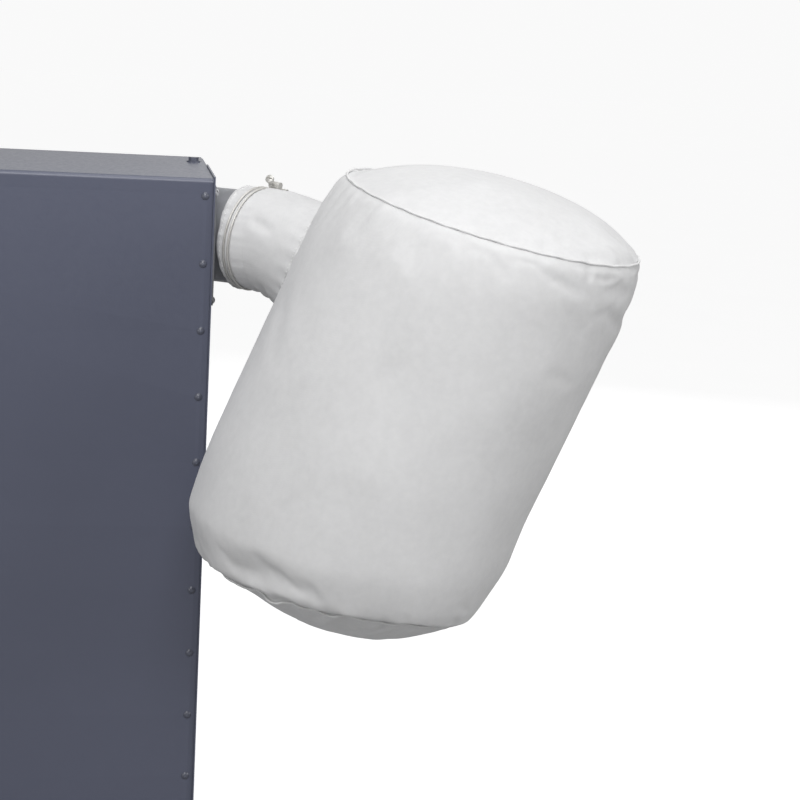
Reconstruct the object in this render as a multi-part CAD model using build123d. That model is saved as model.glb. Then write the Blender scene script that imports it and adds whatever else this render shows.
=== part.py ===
from build123d import *
import math
import os

# Cabinet dust collector with an angled outlet spigot and a fabric filter bag.
# Millimetres. +Z up, +X to the right (outlet side), the front faces -Y.
# Origin: centre of the base plate's flat underside, on the floor.

# ---------------------------------------------------------------- dimensions
W = 360.0            # width over the front panel
D = 320.0            # depth over front and back panels
H = 740.0            # height to the top plate
SHEET = 1.5          # cabinet sheet steel
BASE_T = 2.0         # base plate sheet
BASE_LIP = 25.0      # upturned edge of the base plate
ANCHOR_X = 300.0     # floor anchor spacing, X
ANCHOR_Y = 250.0     # floor anchor spacing, Y
ANCHOR_R = 4.5       # floor anchor hole radius
BEND_R = 4.5         # bend at the front panel's top edge
LIP = 2.0            # side panels stand this proud of front and top
NOTCH_Y = 16.0       # the raised top lip of a side panel ends here
SCREW_PITCH = 70.0   # panel screw pitch
SCREW_TOP = 18.0     # first panel screw below the top
SCREW_IN = 8.0       # panel screw line, in from the front panel's edge
SCREW_N = 11

PORT_R = 50.0        # spigot outside radius (4 inch port)
PORT_T = 1.5         # spigot wall
ANGLE = 34.0         # outlet spigot turned forward from +X, degrees
RING = (216.0, -101.0, 675.0)   # centre of the bag neck's hem edge, on the spigot axis
SPIGOT_OUT = 28.0    # spigot reaches this far into the neck past the hem
FLANGE_T = 2.5
FLANGE_Y = 136.0
FLANGE_Z = 124.0
FLANGE_CZ = 668.0

BAG_T = 1.3          # fabric
BAG_TOP = (456.0, -250.0, 724.0)      # centre of the top seam
BAG_BOT = (321.2, -268.0, 346.3)      # centre of the bottom seam
BAG_TOP_N = (0.2139, -0.098, 0.970)   # top seam plane, pointing up
BAG_BOT_N = (0.182, 0.0287, 0.9829)  # bottom seam plane, pointing up
BAG_R = [(0.0, 154.0), (0.05, 160.5), (0.2, 165.0), (0.5, 165.5), (0.8, 165.0), (0.93, 157.5), (1.0, 143.0)]
BAG_SAG = [0.0, 2.0, 4.5, 12.0, 17.3, 9.5, 3.5]     # sideways sag of each section, to the left
SAG_DIR = (-0.988, 0.154, 0.0)
DOME_TOP = 42.0
DOME_BOT = 41.0
NECK_IN = 50.4       # neck sleeve inside radius on the spigot
NECK_T = 1.4
HEM_R = 54.2         # hem outside radius
HEM_L = 7.0

FAN_X = 12.0
FAN_Z = 520.0
IMP_R = 118.0        # impeller radius
EYE_R = 70.0
SCROLL_F = -124.0    # scroll front face
SCROLL_B = -52.5     # scroll back face
SHAFT_R = 8.0
MOTOR_R = 66.0       # motor barrel inside radius
INLET_Z = 210.0
INLET_L = 60.0

SW = (-95.0, 600.0)  # switch centre on the front panel, X and Z
GLAND = (-120.0, 70.0)

os.makedirs("parts", exist_ok=True)


# ------------------------------------------------------------------- helpers
def vec(p):
    return Vector(*p)


def unit(p):
    v = Vector(*p)
    return v * (1.0 / v.length)


def box(x0, x1, y0, y1, z0, z1):
    b = Box(x1 - x0, y1 - y0, z1 - z0)
    return Pos((x0 + x1) / 2, (y0 + y1) / 2, (z0 + z1) / 2) * b


def rod(p, d, r, length):
    pl = Plane(origin=vec(p), z_dir=unit(d))
    return pl.location * Cylinder(r, length, align=(Align.CENTER, Align.CENTER, Align.MIN))


def tube(p, d, r_out, r_in, length):
    return rod(p, d, r_out, length) - rod(vec(p) - unit(d) * 1.0, d, r_in, length + 2.0)


def hexrod(p, d, across, length):
    pl = Plane(origin=vec(p), z_dir=unit(d))
    sk = pl * RegularPolygon(across / math.sqrt(3), 6)
    return extrude(sk, amount=length)


def dome_head(p, d, r, h):
    # low rounded screw head standing on the plane through p
    rho = (r * r + h * h) / (2 * h)
    s = Sphere(rho)
    cap = (Pos(0, 0, -(rho - h)) * s) & (Pos(0, 0, rho) * Box(4 * rho, 4 * rho, 2 * rho))
    return Plane(origin=vec(p), z_dir=unit(d)).location * cap


def save(name, *solids):
    flat = []
    for s in solids:
        flat.extend(s.solids() if hasattr(s, "solids") else [s])
    obj = flat[0] if len(flat) == 1 else Compound(children=flat)
    export_step(obj, "parts/" + name + ".step")
    return flat


Y = (0, 1, 0)
NY = (0, -1, 0)
X = (1, 0, 0)
NX = (-1, 0, 0)
Z = (0, 0, 1)

hw, hd = W / 2, D / 2
xo = hw + LIP                       # outer face of a side panel
n = Vector(math.cos(math.radians(ANGLE)), -math.sin(math.radians(ANGLE)), 0)
ring = vec(RING)
t_dir = Vector(math.sin(math.radians(ANGLE)), math.cos(math.radians(ANGLE)), 0)
wall_root = ring - n * ((RING[0] - xo) / n.X)

# ------------------------------------------------------------- base plate
base = box(-hw, hw, -hd + 3.6, hd - 3.6, 0, BASE_LIP) - box(-hw + BASE_T, hw - BASE_T, -hd + 3.6 + BASE_T, hd - 3.6 - BASE_T, BASE_T, BASE_LIP + 1)
for sx in (-1, 1):
    for sy in (-1, 1):
        base = base - rod((sx * ANCHOR_X / 2, sy * ANCHOR_Y / 2, -1), Z, ANCHOR_R, BASE_T + 2)
for sx in (-1, 1):
    base = base - rod((sx * (hw - SCREW_IN), -hd, H - SCREW_TOP - SCREW_PITCH * (SCREW_N - 1)), Y, 2.05, 12)
save("base_plate", base)

# ------------------------------------------------------------- side panels
screw_zs = [H - SCREW_TOP - SCREW_PITCH * k for k in range(SCREW_N)]
screw_xs = [-(hw - SCREW_IN), hw - SCREW_IN]


def side_panel(s):
    x_in, x_out = hw + 0.3, xo
    a, b = sorted((s * x_in, s * x_out))
    skin = box(a, b, -hd - LIP, hd, 1.0, H - 1.5)
    lip = box(a, b, -hd - LIP, NOTCH_Y, H - 1.5, H + LIP)
    body = skin + lip
    c, d = sorted((s * (hw - 20), s * x_in))
    front = box(c, d, -hd + SHEET + 0.1, -hd + 2 * SHEET + 0.1, BASE_LIP + 3, H - 22)
    rear = box(c, d, hd - 2 * SHEET - 0.1, hd - SHEET - 0.1, BASE_LIP + 3, H - 22)
    body = body + front + rear
    for z in screw_zs:
        if z < H - 22 and z > BASE_LIP + 3:
            body = body - rod((s * (hw - SCREW_IN), -hd - 5, z), Y, 2.05, 12)
    return body


left = side_panel(-1)
left = left - rod((-xo - 2, 0, INLET_Z), X, PORT_R - PORT_T, 8)
for k in range(4):
    a = math.radians(45 + 90 * k)
    left = left - rod((-xo - 2, 60 * math.cos(a), INLET_Z + 60 * math.sin(a)), X, 2.05, 8)
save("left_side_panel", left)

right = side_panel(1)
port_hole = rod(ring - n * 90, n, PORT_R - PORT_T, 200)
right = right - port_hole
fl_cy = wall_root.Y
fl_screws = [(fl_cy + sy * (FLANGE_Y / 2 - 6), FLANGE_CZ + sz * (FLANGE_Z / 2 - 6)) for sy in (-1, 1) for sz in (-1, 1)]
for y, z in fl_screws:
    right = right - rod((xo - 6, y, z), X, 2.05, 12)
save("right_side_panel", right)

# ------------------------------------------------------------- back panel
back = box(-hw, hw, hd - SHEET, hd, 1.0, H - 2.0)
for k in range(8):
    for cx in (-70, 70):
        z = 560 + 16 * k
        back = back - box(cx - 50, cx + 50, hd - 3, hd + 1, z, z + 6)
back = back - rod((GLAND[0], hd - 4, GLAND[1]), Y, 8.1, 8)
save("back_panel", back)

# ------------------------------------------------------------- front panel
with BuildPart() as fp:
    with BuildSketch(Plane.YZ) as sk:
        with BuildLine():
            y0 = -hd
            zt = H
            Polyline((y0, 1.0), (y0, zt - BEND_R))
            ThreePointArc((y0, zt - BEND_R), (y0 + BEND_R * (1 - math.cos(math.radians(45))), zt - BEND_R * (1 - math.sin(math.radians(45)))), (y0 + BEND_R, zt))
            Polyline((y0 + BEND_R, zt), (y0 + BEND_R + 0.8, zt), (y0 + BEND_R + 0.8, zt - SHEET), (y0 + BEND_R, zt - SHEET))
            ThreePointArc((y0 + BEND_R, zt - SHEET), (y0 + BEND_R - (BEND_R - SHEET) * math.cos(math.radians(45)), zt - BEND_R + (BEND_R - SHEET) * math.sin(math.radians(45))), (y0 + SHEET, zt - BEND_R))
            Polyline((y0 + SHEET, zt - BEND_R), (y0 + SHEET, 1.0), (y0, 1.0))
        make_face()
    extrude(amount=hw, both=True)
front = fp.part
for x in screw_xs:
    for z in screw_zs:
        front = front - rod((x, -hd - 2, z), Y, 2.05, 6)
front = front - box(SW[0] - 12, SW[0] + 12, -hd - 1, -hd + 3, SW[1] - 24, SW[1] + 24)
save("front_panel", front)

# ------------------------------------------------------------- top plate
ty0 = -hd + BEND_R + 1.5
top = box(-hw, hw, ty0, hd, H - SHEET, H)
top = top + box(-hw, -hw + SHEET, ty0 + 2, hd - 4.0, H - 14, H - SHEET)
top = top + box(hw - SHEET, hw, ty0 + 2, hd - 4.0, H - 14, H - SHEET)
top_bolts_xy = [(-168.0, 75.0), (168.0, 75.0)]
for x, y in top_bolts_xy:
    top = top - rod((x, y, H - 4), Z, 3.1, 8)
save("top_plate", top)

# ------------------------------------------------------------- cabinet fasteners
scr = []
for x in screw_xs:
    for z in screw_zs:
        scr.append(dome_head((x, -hd, z), NY, 4.3, 2.0) + rod((x, -hd - 0.2, z), Y, 2.0, 8.2))
save("panel_screws", *scr)

tb = []
for x, y in top_bolts_xy:
    w = rod((x, y, H), Z, 8.0, 1.4)
    tb.append(w + hexrod((x, y, H + 1.2), Z, 10.0, 4.2) + rod((x, y, H - 12), Z, 3.0, 13))
save("top_bolts", *tb)

# ------------------------------------------------------------- cable gland
gx, gz = GLAND
gland = hexrod((gx, hd, gz), Y, 20.0, 5.0) + rod((gx, hd + 5.0, gz), Y, 9.4, 9.0) + rod((gx, hd - 10, gz), Y, 8.0, 10.5)
gland = gland - rod((gx, hd - 12, gz), Y, 4.5, 40)
gnut = hexrod((gx, hd - SHEET - 5.0, gz), Y, 20.0, 4.9) - rod((gx, hd - 12, gz), Y, 8.05, 12)
save("cable_gland", gland)
save("gland_nut", gnut)

# ------------------------------------------------------------- switch
sx, sz = SW
plate = box(sx - 17, sx + 17, -hd - 3.0, -hd, sz - 31, sz + 31)
plate = fillet(plate.edges().filter_by(Axis.Y), 5)
sbody = box(sx - 11.5, sx + 11.5, -hd - 0.5, -hd + 26, sz - 23.5, sz + 23.5)
swh = (plate + sbody) - box(sx - 8.0, sx + 8.0, -hd - 5, -hd + 12.6, sz - 16.5, sz + 16.5)
pivot = (sx, -hd + 6.0, sz)
swh = swh - rod((sx - 11.6, pivot[1], sz), X, 1.2, 23.2)
save("switch_housing", swh)
save("toggle_pin", rod((sx - 11.4, pivot[1], sz), X, 1.2, 22.8))
rk = rod((sx - 7.5, pivot[1], sz), X, 6.0, 15.0)
pl = Plane(origin=vec(pivot), z_dir=Vector(0, -math.cos(math.radians(12)), math.sin(math.radians(12))))
lever = pl.location * Cylinder(3.2, 22, align=(Align.CENTER, Align.CENTER, Align.MIN))
lever = lever + (Plane(origin=vec(pivot) + pl.z_dir * 22.0, z_dir=pl.z_dir).location * Sphere(4.6))
save("switch_toggle", (rk + lever) - rod((sx - 12, pivot[1], sz), X, 1.26, 24))

# ------------------------------------------------------------- outlet flange and spigot
flange = box(xo, xo + FLANGE_T, fl_cy - FLANGE_Y / 2, fl_cy + FLANGE_Y / 2, FLANGE_CZ - FLANGE_Z / 2, FLANGE_CZ + FLANGE_Z / 2)
flange = fillet(flange.edges().filter_by(Axis.X), 8)
flange = flange - rod(ring - n * 90, n, PORT_R, 200)
for y, z in fl_screws:
    flange = flange - rod((xo - 1, y, z), X, 2.05, 6)
save("outlet_flange", flange)

spigot = tube(ring - n * 90, n, PORT_R, PORT_R - PORT_T, 90 + SPIGOT_OUT) & box(xo, 400, -400, 200, 500, 800)
save("outlet_spigot", spigot)

fs = []
for y, z in fl_screws:
    fs.append(dome_head((xo + FLANGE_T, y, z), X, 4.0, 2.4) + rod((xo - 8, y, z), X, 2.0, 8.2 + FLANGE_T))
save("flange_screws", *fs)

# ------------------------------------------------------------- inlet spigot
inlet = tube((-xo - INLET_L, 0, INLET_Z), X, PORT_R, PORT_R - PORT_T, INLET_L) + tube((-xo - 2.0, 0, INLET_Z), X, 72.0, PORT_R - PORT_T, 2.0)
ins = []
for k in range(4):
    a = math.radians(45 + 90 * k)
    y, z = 60 * math.cos(a), INLET_Z + 60 * math.sin(a)
    inlet = inlet - rod((-xo - 4, y, z), X, 2.05, 6)
    ins.append(dome_head((-xo - 2.0, y, z), NX, 4.0, 2.4) + rod((-xo - 2.2, y, z), X, 2.0, 9))
save("inlet_spigot", inlet)
save("inlet_screws", *ins)

# ------------------------------------------------------------- scroll housing
PSI0, PSI1 = 40.0, -270.0


def scroll_pts(off):
    pts = []
    steps = 36
    for i in range(steps + 1):
        ps = PSI0 + (PSI1 - PSI0) * i / steps
        r = 124.0 + 72.0 * i / steps - off
        pts.append((FAN_X + r * math.cos(math.radians(ps)), FAN_Z + r * math.sin(math.radians(ps))))
    return pts


OUT_X = 150.0
OUT_ZB = 634.0


def scroll_face(off, x_end, plane):
    pts = scroll_pts(off)
    with BuildSketch(plane) as s:
        with BuildLine():
            Spline(*pts)
            Polyline(pts[-1], (x_end, FAN_Z + 196.0 - off), (x_end, OUT_ZB + off), pts[0])
        make_face()
    return s.sketch


def scroll_solid(off, y0, y1, x_end):
    # sketch plane with local x along +X and local y along +Z, normal along -Y
    f = scroll_face(off, x_end, Plane(origin=(0, y1, 0), x_dir=(1, 0, 0), z_dir=(0, -1, 0)))
    return extrude(f, amount=(y1 - y0))


sf = scroll_solid(0, SCROLL_F, SCROLL_F + SHEET, OUT_X) - rod((FAN_X, SCROLL_F - 5, FAN_Z), Y, EYE_R, 12)
save("scroll_front_plate", sf)
sb = scroll_solid(0, SCROLL_B - SHEET, SCROLL_B, OUT_X) - rod((FAN_X, SCROLL_B - 5, FAN_Z), Y, 14.0, 12)
mot_bolts = [(FAN_X + 50 * math.cos(math.radians(45 + 90 * k)), FAN_Z + 50 * math.sin(math.radians(45 + 90 * k))) for k in range(4)]
for x, z in mot_bolts:
    sb = sb - rod((x, SCROLL_B - 5, z), Y, 3.1, 12)
save("scroll_back_plate", sb)
wrap = scroll_solid(0, SCROLL_F + SHEET, SCROLL_B - SHEET, OUT_X) - scroll_solid(SHEET, SCROLL_F, SCROLL_B, OUT_X + 5)
save("scroll_wrap", wrap)

# box that joins the scroll outlet to the port in the side panel
ob_y0, ob_y1, ob_z0, ob_z1 = -147.0, -10.0, 614.0, 722.0
ob = box(OUT_X, hw + 0.2, ob_y0, ob_y1, ob_z0, ob_z1) - box(OUT_X + SHEET, hw + 2, ob_y0 + SHEET, ob_y1 - SHEET, ob_z0 + SHEET, ob_z1 - SHEET)
ob = ob - box(OUT_X - 1, OUT_X + SHEET + 1, SCROLL_F + SHEET, SCROLL_B - SHEET, OUT_ZB + SHEET, FAN_Z + 196 - SHEET)
ob = ob - box(hw - 21, hw + 1, -160, ob_y0 + 0.01, 500, 800)
save("outlet_box", ob)

# ------------------------------------------------------------- impeller
imp = rod((FAN_X, -66, FAN_Z), Y, IMP_R, 3.0) + rod((FAN_X, -104, FAN_Z), Y, 21.0, 41.5)
for k in range(10):
    b = box(20, IMP_R - 0.6, -1.0, 1.0, 0, 50)                  # local: x radial, z along the fan axis
    b = Plane(origin=(0, -66, 0), x_dir=(1, 0, 0), z_dir=(0, -1, 0)).location * b
    b = Pos(FAN_X, 0, FAN_Z) * (Rot(0, 36.0 * k, 0) * b)
    imp = imp + b
imp = imp - rod((FAN_X, -110, FAN_Z), Y, SHAFT_R, 60)
save("impeller", imp)
ib = hexrod((FAN_X, -110.2, FAN_Z), Y, 10.0, 4.2) + rod((FAN_X, -106.0, FAN_Z), Y, 13.0, 2.0)
save("impeller_bolt", ib)

# ------------------------------------------------------------- motor
shaft = rod((FAN_X, -104.0, FAN_Z), Y, SHAFT_R, 236.0)
save("motor_shaft", shaft)
rotor = tube((FAN_X, -11, FAN_Z), Y, 34.0, SHAFT_R, 80.0)
save("rotor_core", rotor)
stator = tube((FAN_X, -11, FAN_Z), Y, MOTOR_R - 0.05, 34.6, 80.0)
save("stator_core", stator)
wind = [tube((FAN_X, -25.0, FAN_Z), Y, 58.0, 40.0, 13.9), tube((FAN_X, 69.1, FAN_Z), Y, 58.0, 40.0, 13.9)]
save("stator_windings", *wind)
barrel = tube((FAN_X, -32, FAN_Z), Y, MOTOR_R + 2.5, MOTOR_R, 122.0)
for k in range(24):
    ang = 15.0 * k
    if 65 < ang % 360 < 115 or 225 < ang % 360 < 315:
        continue
    f = box(MOTOR_R + 2.0, MOTOR_R + 8.0, -26, 84, -1.2, 1.2)
    barrel = barrel + Pos(FAN_X, 0, FAN_Z) * (Rot(0, -ang, 0) * f)
save("motor_barrel", barrel)
fb = rod((FAN_X, -50.0, FAN_Z), Y, 68.5, 17.9) - rod((FAN_X, -44.0, FAN_Z), Y, 61.0, 20) + tube((FAN_X, -45.0, FAN_Z), Y, 26.0, 20.0, 11.0)
fb = fb + rod((FAN_X, -SCROLL_B * -1, FAN_Z), Y, 62.0, 2.6)
fb = fb - rod((FAN_X, -60.0, FAN_Z), Y, 12.0, 40) - rod((FAN_X, -46.0, FAN_Z), Y, 20.0, 40)
for x, z in mot_bolts:
    fb = fb - rod((x, -60.0, z), Y, 3.1, 30)
save("front_end_bell", fb)
rb = rod((FAN_X, 90.05, FAN_Z), Y, 68.5, 14.0) - rod((FAN_X, 85.0, FAN_Z), Y, 61.0, 13.0) + tube((FAN_X, 90.05, FAN_Z), Y, 26.0, 20.0, 10.0)
rb = rb - rod((FAN_X, 85.0, FAN_Z), Y, 12.0, 40) - rod((FAN_X, 85.0, FAN_Z), Y, 20.0, 16.0)
save("rear_end_bell", rb)
brg = [tube((FAN_X, -46.0, FAN_Z), Y, 20.0, SHAFT_R + 0.03, 12.0), tube((FAN_X, 89.0, FAN_Z), Y, 20.0, SHAFT_R + 0.03, 12.0)]
save("motor_bearings", *brg)
mb = []
for x, z in mot_bolts:
    mb.append(hexrod((x, SCROLL_B - SHEET - 4.1, z), Y, 10.0, 4.1) + rod((x, SCROLL_B - SHEET - 0.5, z), Y, 3.0, 10.0))
save("motor_bolts", *mb)
cf = rod((FAN_X, 112.0, FAN_Z), Y, 14.0, 16.0) + rod((FAN_X, 112.0, FAN_Z), Y, 50.0, 2.0)
for k in range(8):
    b = box(12, 56, -1.0, 1.0, 0, 14)
    b = Plane(origin=(0, 128, 0), x_dir=(1, 0, 0), z_dir=(0, -1, 0)).location * b
    cf = cf + Pos(FAN_X, 0, FAN_Z) * (Rot(0, 45.0 * k, 0) * b)
cf = cf - rod((FAN_X, 100.0, FAN_Z), Y, SHAFT_R, 60)
save("cooling_fan", cf)
cowl = tube((FAN_X, 104.1, FAN_Z), Y, 69.0, 67.5, 37.0) + rod((FAN_X, 139.6, FAN_Z), Y, 69.0, 1.5)
for k in range(6):
    cowl = cowl - Pos(FAN_X, 0, FAN_Z) * (Rot(0, 60.0 * k, 0) * box(16, 56, 135, 145, -5, 5))
cowl = cowl - rod((FAN_X, 135, FAN_Z), Y, 6.0, 10)
save("fan_cowl", cowl)
cap_box = box(FAN_X - 32, FAN_X + 32, 2, 62, FAN_Z + MOTOR_R + 2.6, FAN_Z + MOTOR_R + 34)
cap_box = fillet(cap_box.edges().filter_by(Axis.Z), 6) - (box(FAN_X - 29, FAN_X + 29, 5, 59, FAN_Z + MOTOR_R + 5.6, FAN_Z + MOTOR_R + 31))
save("capacitor_box", cap_box)
save("run_capacitor", rod((FAN_X, 8, FAN_Z + MOTOR_R + 18.5), Y, 12.4, 48.0))

# ------------------------------------------------------------- motor shelf and mounts
SHELF_Z = 418.0
shelf = box(-hw + 0.2, hw - 0.2, -46, 150, SHELF_Z, SHELF_Z + 2) + box(-hw + 0.2, -hw + 2.2, -46, 150, SHELF_Z - 22, SHELF_Z) + box(hw - 2.2, hw - 0.2, -46, 150, SHELF_Z - 22, SHELF_Z)
foot_xy = [(FAN_X + sx_ * 45.0, y) for sx_ in (-1, 1) for y in (-12.0, 70.0)]
for x, y in foot_xy:
    shelf = shelf - rod((x, y, SHELF_Z - 2), Z, 4.1, 8)
save("motor_shelf", shelf)
save("vibration_mounts", *[tube((x, y, SHELF_Z + 2), Z, 12.0, 4.1, 14.0) for x, y in foot_xy])
FT = SHELF_Z + 16.0
foot = box(FAN_X - 60, FAN_X + 60, -26, 84, FT, FT + 4) + box(FAN_X - 44, FAN_X + 44, -22, -6, FT + 3.5, FAN_Z - 40) + box(FAN_X - 44, FAN_X + 44, 62, 78, FT + 3.5, FAN_Z - 40)
foot = foot - rod((FAN_X, -40, FAN_Z), Y, MOTOR_R + 2.55, 160)
foot = foot - box(FAN_X - 33, FAN_X + 33, -30, 90, FAN_Z - 62, FAN_Z)
for x, y in foot_xy:
    foot = foot - rod((x, y, FT - 2), Z, 4.1, 60)
    foot = foot - rod((x, y, FT + 4), Z, 8.5, 60)
save("motor_foot", foot)
save("foot_bolts", *[hexrod((x, y, FT + 4), Z, 13.0, 5.0) + rod((x, y, SHELF_Z - 8), Z, 4.0, FT + 12.5 - SHELF_Z) for x, y in foot_xy])

# ------------------------------------------------------------- fabric bag
T = vec(BAG_TOP)
B = vec(BAG_BOT)
axis = (B - T) * (1.0 / (B - T).length)
nt, nb = unit(BAG_TOP_N), unit(BAG_BOT_N)


def bag_section(k, r, push=0.0):
    sag = BAG_SAG[[q[0] for q in BAG_R].index(k)]
    c = T + (B - T) * k + vec(SAG_DIR) * sag + axis * push
    nn = nt * (1 - k) + nb * k
    nn = nn * (1.0 / nn.length)
    return Plane(origin=c, x_dir=Vector(nn.Z, 0, -nn.X) * (1.0 / math.hypot(nn.Z, nn.X)), z_dir=nn) * Circle(r)


bag_outer = loft([bag_section(k, r) for k, r in BAG_R])
inner_secs = [bag_section(0.0, BAG_R[0][1] - BAG_T, -2.0)] + [bag_section(k, r - BAG_T) for k, r in BAG_R[1:-1]] + [bag_section(1.0, BAG_R[-1][1] - BAG_T, 2.0)]
bag_inner = loft(inner_secs)

# neck sleeve: straight on the spigot, then drooping to the bag
NECK_STRAIGHT = 30.0
P0 = ring + n * NECK_STRAIGHT
P1 = ring + n * 58.0
P2 = vec((350.0, -193.0, 630.0))
neck_secs_out, neck_secs_in = [], []


def neck_point(u):
    p = P0 * ((1 - u) ** 2) + P1 * (2 * u * (1 - u)) + P2 * (u * u)
    d = (P1 - P0) * (2 * (1 - u)) + (P2 - P1) * (2 * u)
    return p, d * (1.0 / d.length)


def neck_plane(p, d):
    xd = Vector(d.Y, -d.X, 0) * (1.0 / math.hypot(d.X, d.Y))
    return Plane(origin=p, x_dir=xd, z_dir=d)


neck_r = [(0.0, NECK_IN), (0.25, NECK_IN + 2.0), (0.5, NECK_IN + 5.0), (0.75, NECK_IN + 7.5), (1.0, NECK_IN + 8.0)]
for u, r in neck_r:
    p, d = neck_point(u)
    neck_secs_out.append(neck_plane(p, d) * Circle(r + NECK_T))
    neck_secs_in.append(neck_plane(p, d) * Circle(r))
pe, de = neck_point(1.0)
neck_secs_in.append(neck_plane(pe + de * 4.0, de) * Circle(neck_r[-1][1]))
neck_outer = loft(neck_secs_out) + rod(ring, n, NECK_IN + NECK_T, NECK_STRAIGHT)
neck_inner = loft(neck_secs_in) + rod(ring - n * 2.0, n, NECK_IN, NECK_STRAIGHT + 2.0)

bag_wall = bag_outer - bag_inner - neck_inner
save("bag_side_wall", *sorted(bag_wall.solids(), key=lambda s: -s.volume)[:1])
neck = neck_outer - neck_inner - bag_outer
neck_solids = sorted(neck.solids(), key=lambda s: -s.volume)
save("bag_neck_sleeve", neck_solids[0])


def dome(c, up, r, h, t):
    rho = (r * r + h * h) / (2 * h)
    cap = (Pos(0, 0, h - rho) * (Sphere(rho) - Sphere(rho - t))) & (Pos(0, 0, 500.4) * Box(1000, 1000, 1000))
    return Plane(origin=c, z_dir=up).location * cap


save("bag_top_disc", dome(T, nt, BAG_R[0][1], DOME_TOP, BAG_T))
B = B + vec(SAG_DIR) * BAG_SAG[-1]
save("bag_bottom_disc", dome(B, nb * -1.0, BAG_R[-1][1], DOME_BOT, BAG_T))


def ring_at(c, d, r, wire):
    return Plane(origin=c, z_dir=d).location * Torus(r, wire)


save("bag_top_seam", ring_at(T + nt * 0.2, nt, BAG_R[0][1] + 1.7, 1.2))
save("bag_bottom_seam", ring_at(B - nb * 0.2, nb, BAG_R[-1][1] + 1.9, 1.2))

# ------------------------------------------------------------- wire clamp
u50 = t_dir * math.cos(math.radians(50)) + Vector(0, 0, 1) * math.sin(math.radians(50))
nc = n - u50 * (7.0 / 54.0)
nc = nc * (1.0 / nc.length)
cc = ring + n * 16.0
WIRE = 1.1
CL_R = 54.6
SCREW_OUT = 20.0      # clamp screw head past the point midway between the barrels
save("clamp_wires", ring_at(cc - nc * 2.7, nc, CL_R, WIRE), ring_at(cc + nc * 2.7, nc, CL_R, WIRE))
hem = tube(ring, n, HEM_R, NECK_IN + NECK_T + 0.05, HEM_L)
hem = hem - ring_at(cc - nc * 2.7, nc, CL_R, WIRE + 0.15)
save("bag_neck_hem", *sorted(hem.solids(), key=lambda q: -q.volume)[:1])
# screw and barrels, tangent to the ring near its top on the far side
ts = nc.cross(Vector(0, 0, 1))
ts = ts * (-1.0 / ts.length)
if ts.dot(t_dir) < 0:
    ts = ts * -1.0
zs = ts.cross(nc)
if zs.Z < 0:
    zs = zs * -1.0
a0 = math.radians(60)
rad = ts * math.cos(a0) + zs * math.sin(a0)
tan = ts * -math.sin(a0) + zs * math.cos(a0)       # towards the screw head
sc = cc + rad * (CL_R + WIRE + 5.2)
b1 = rod(sc + tan * 7.0 - nc * 6.5, nc, 4.0, 13.0) - rod(sc + tan * 20.0, tan * -1.0, 2.3, 60)
b2 = rod(sc - tan * 9.0 - nc * 6.5, nc, 4.0, 13.0) - rod(sc + tan * 20.0, tan * -1.0, 2.3, 60)
save("clamp_barrels", b1, b2)
head_c = sc + tan * SCREW_OUT
screw = rod(head_c, tan * -1.0, 2.2, SCREW_OUT + 20.7) + rod(head_c, tan, 4.6, 2.4)
screw = screw + (dome_head(head_c + tan * 2.4, tan, 4.6, 1.5))
screw = screw - (Plane(origin=head_c + tan * 4.0, x_dir=nc, z_dir=tan).location * Box(12, 1.2, 3.6))
save("clamp_screw", screw)

print("n", n, "wall_root", wall_root, "nc", nc, "sc", sc, "tan", tan)
print("toggle pivot", pivot)
print("bag solids", len(bag_wall.solids()), [round(s.volume) for s in bag_wall.solids()], "neck", [round(s.volume) for s in neck_solids])
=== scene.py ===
import bpy, bmesh, math
import numpy as np
from mathutils import Vector, Matrix
from mathutils import noise as mnoise
from mathutils.bvhtree import BVHTree


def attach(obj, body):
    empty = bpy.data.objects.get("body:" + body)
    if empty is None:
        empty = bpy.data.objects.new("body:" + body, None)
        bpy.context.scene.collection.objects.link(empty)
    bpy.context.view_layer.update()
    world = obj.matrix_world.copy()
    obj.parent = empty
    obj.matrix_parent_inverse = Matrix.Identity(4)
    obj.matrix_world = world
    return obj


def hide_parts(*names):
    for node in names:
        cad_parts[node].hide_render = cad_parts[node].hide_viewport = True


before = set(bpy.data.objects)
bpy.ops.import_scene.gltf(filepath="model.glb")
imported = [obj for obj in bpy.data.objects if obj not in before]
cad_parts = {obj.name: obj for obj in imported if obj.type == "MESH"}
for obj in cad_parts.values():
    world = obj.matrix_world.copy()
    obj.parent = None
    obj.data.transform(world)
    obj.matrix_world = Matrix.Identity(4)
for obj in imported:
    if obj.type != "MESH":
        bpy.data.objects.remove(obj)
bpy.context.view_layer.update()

MM = 0.001


def V(*p):
    return Vector(p)


# ------------------------------------------------------------------ geometry
ANGLE = math.radians(34.0)
N = Vector((math.cos(ANGLE), -math.sin(ANGLE), 0.0))          # spigot axis
TD = Vector((math.sin(ANGLE), math.cos(ANGLE), 0.0))          # horizontal, across the spigot
UP = Vector((0, 0, 1))
RING = Vector((216.0, -101.0, 675.0)) * MM
BT = Vector((456.0, -250.0, 724.0)) * MM
BB = Vector((321.2, -268.0, 346.3)) * MM
NT = Vector((0.2139, -0.098, 0.970)).normalized()
NB = Vector((0.182, 0.0287, 0.9829)).normalized()
AX = (BB - BT).normalized()


def new_mesh(name, verts, faces, smooth=True):
    me = bpy.data.meshes.new(name)
    me.from_pydata([tuple(v) for v in verts], [], faces)
    me.update()
    if smooth:
        me.polygons.foreach_set("use_smooth", [True] * len(me.polygons))
    ob = bpy.data.objects.new(name, me)
    bpy.context.scene.collection.objects.link(ob)
    return ob


def smoothstep(a, b, x):
    t = min(1.0, max(0.0, (x - a) / (b - a)))
    return t * t * (3 - 2 * t)


def fnoise(p, scale, seed=0.0):
    return mnoise.noise(Vector((p[0] / scale + seed, p[1] / scale - seed * 1.7, p[2] / scale + seed * 0.37)))


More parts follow.
